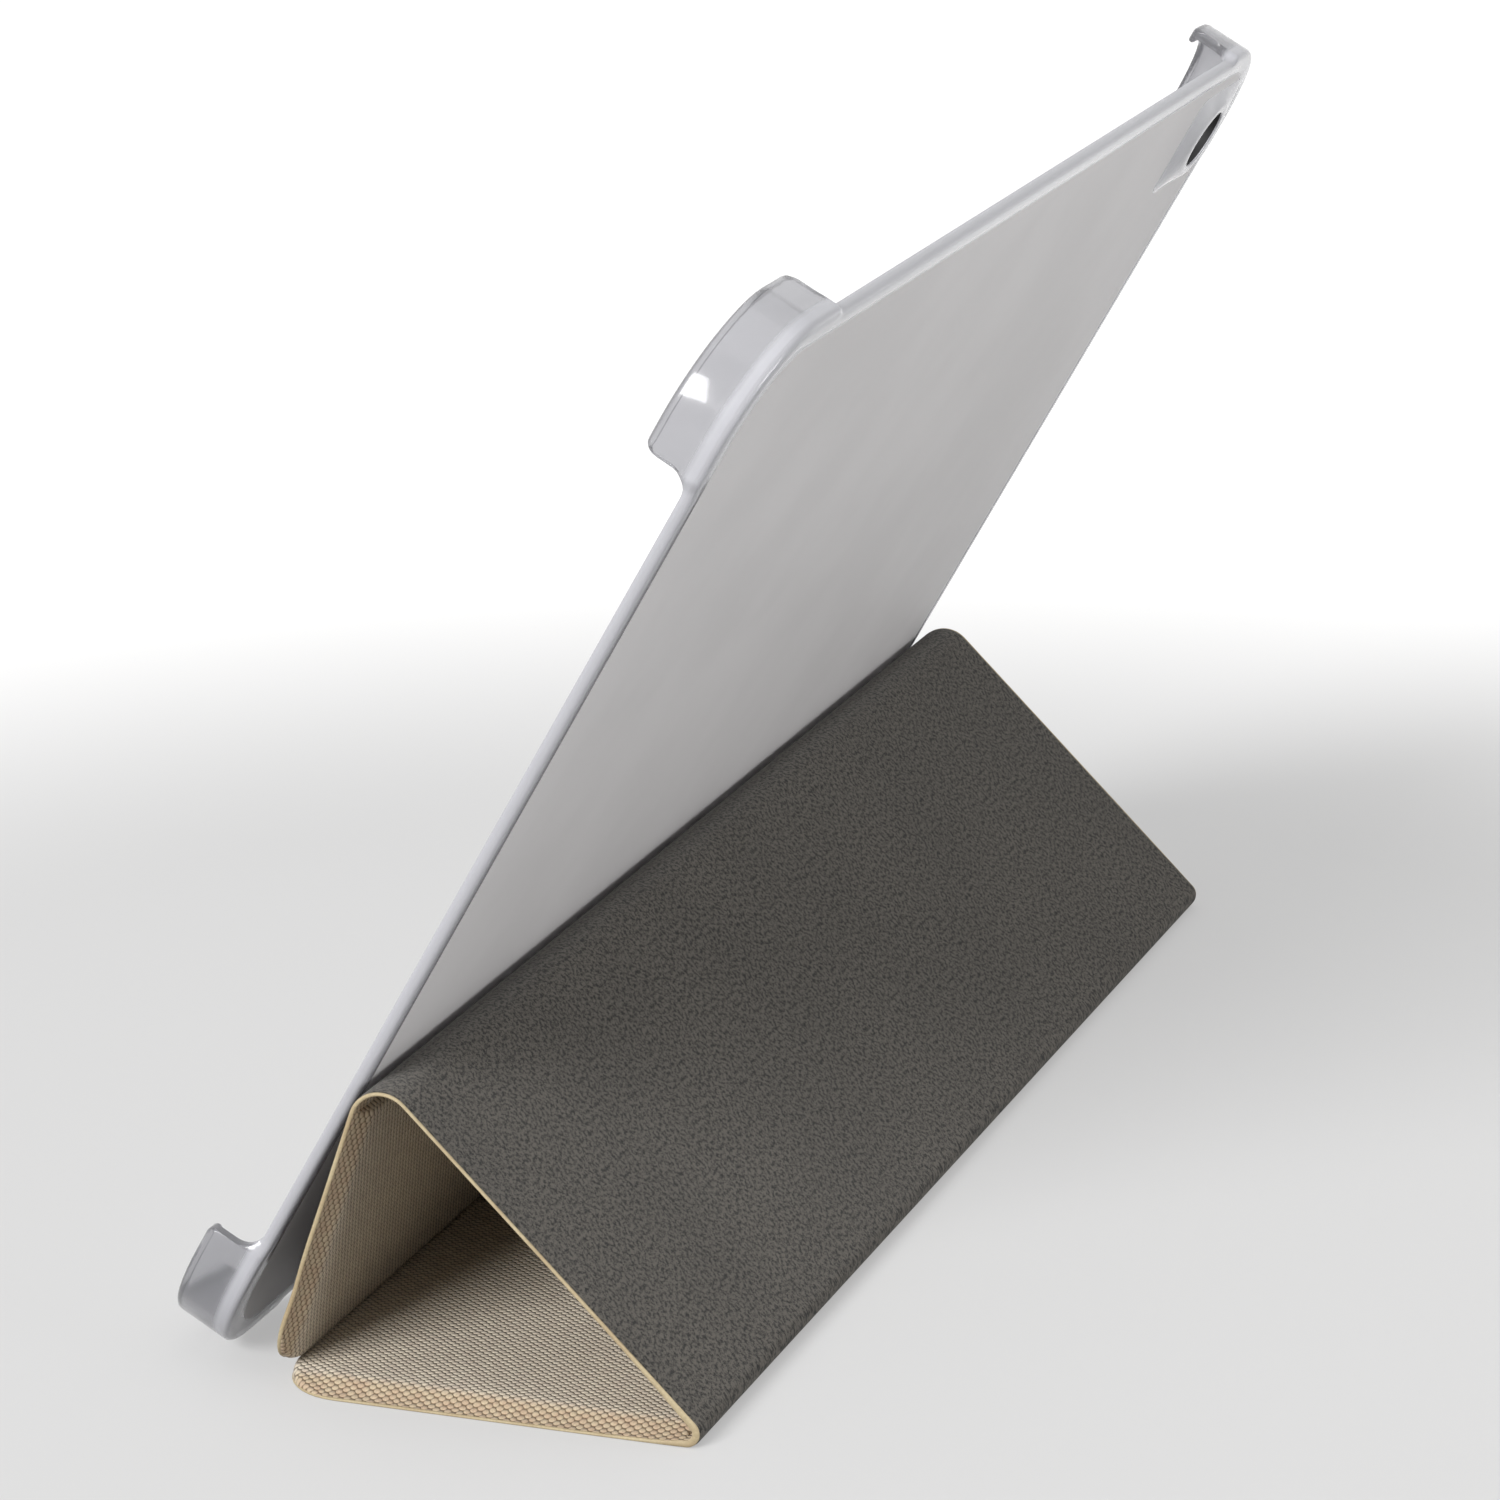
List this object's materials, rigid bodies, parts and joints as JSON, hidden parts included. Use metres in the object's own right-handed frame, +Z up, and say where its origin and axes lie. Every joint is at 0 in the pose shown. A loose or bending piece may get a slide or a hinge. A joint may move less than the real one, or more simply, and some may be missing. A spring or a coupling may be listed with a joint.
{
  "type": "tri-fold tablet stand case",
  "caption": "Clear tablet tray on a cloth spine, with a fabric cover folded into a three-sided prism that props the tray up behind.",
  "frame": {"origin": "centre of the base panel's underside, on the surface that it stands on", "axes": "+X along the folds towards the near end, +Y from the tray to the front fold, +Z up"},
  "size_m": [0.256, 0.0992, 0.1632],
  "materials": {
    "clear_plastic": "clear TPU and polycarbonate, frosted inside its polished border",
    "canvas": "tan basket-weave canvas with darker grey-brown threads",
    "microfibre": "dark warm grey microfibre suede with a fine speckle",
    "edge_paint": "cream edge paint",
    "board": "plain stiff plastic board, hidden",
    "magnet_plating": "nickel-plated magnet, hidden",
    "keeper_steel": "plain steel strip, hidden"
  },
  "bodies": {
    "base": {"base_canvas": "canvas", "base_board": "board", "base_lining": "microfibre", "base_edge": "edge_paint", "base_keepers": "keeper_steel", "front_fold_canvas": "canvas", "front_fold_lining": "microfibre"},
    "slope": {"slope_canvas": "canvas", "slope_board": "board", "slope_lining": "microfibre", "slope_edge": "edge_paint", "ridge_canvas": "canvas", "ridge_lining": "microfibre"},
    "lean": {"lean_canvas": "canvas", "lean_board": "board", "lean_lining": "microfibre", "lean_edge": "edge_paint", "foot_magnets": "magnet_plating", "wake_magnets": "magnet_plating"},
    "spine": {"spine_canvas": "canvas", "spine_strip": "board", "spine_lining": "microfibre"},
    "tray": {"back_shell": "clear_plastic", "hinge_flap": "canvas"}
  },
  "joints": [
    {"name": "front_fold", "type": "hinge", "parent": "base", "child": "slope", "pos_m": [0, 0.03346, 0.0017], "axis": [-1, 0, 0], "range_deg": [0, 135.2], "deforming": ["front_fold_canvas", "front_fold_lining"]},
    {"name": "ridge_fold", "type": "hinge", "parent": "slope", "child": "lean", "pos_m": [0, -0.01451, 0.04933], "axis": [-1, 0, 0], "range_deg": [0, 115.2], "deforming": ["ridge_canvas", "ridge_lining"]},
    {"name": "spine_fold", "type": "hinge", "parent": "spine", "child": "base", "pos_m": [0, -0.03275, 0.0006], "axis": [-1, 0, 0], "range_deg": [0, 90]},
    {"name": "tray_swing", "type": "hinge", "parent": "tray", "child": "spine", "pos_m": [0, -0.04376, 0.0006], "axis": [-1, 0, 0], "range_deg": [0, 210]}
  ],
  "couplings": [
    {"joint": "spine_fold", "follows": "tray_swing", "ratio": 0.42857},
    {"joint": "ridge_fold", "follows": "tray_swing", "ratio": 0.54843}
  ]
}
